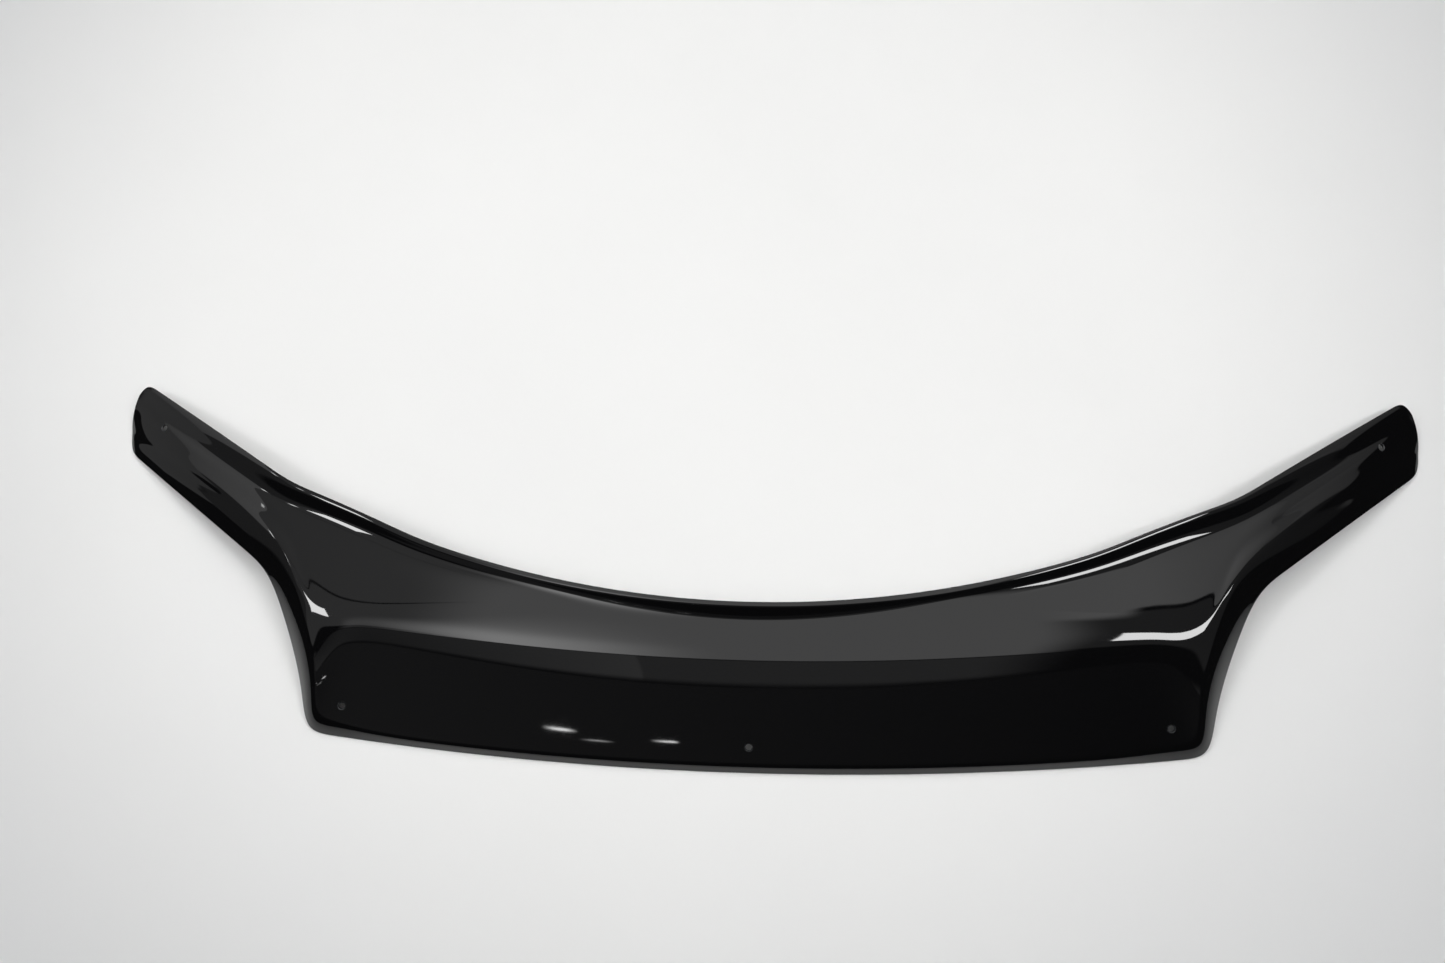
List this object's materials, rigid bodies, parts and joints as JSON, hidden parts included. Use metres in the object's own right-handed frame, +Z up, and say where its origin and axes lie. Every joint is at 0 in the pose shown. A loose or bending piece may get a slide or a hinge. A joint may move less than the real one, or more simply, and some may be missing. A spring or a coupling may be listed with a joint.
{
  "type": "hood bug deflector",
  "caption": "Wide moulded deflector with a raised rear lip, turned-down front and sides, two swept arms and small fixing holes; it shields a vehicle's hood edge.",
  "frame": {"origin": "on the floor under the middle of the part's box, as it rests face up", "axes": "+X across the vehicle, towards the tip at the right of the picture; +Y back from the front edge to the tips; +Z up"},
  "size_m": [1.4564, 0.4176, 0.0714],
  "materials": {
    "black_acrylic": "high gloss"
  },
  "bodies": {
    "root": {"deflector": "black_acrylic"}
  },
  "joints": []
}
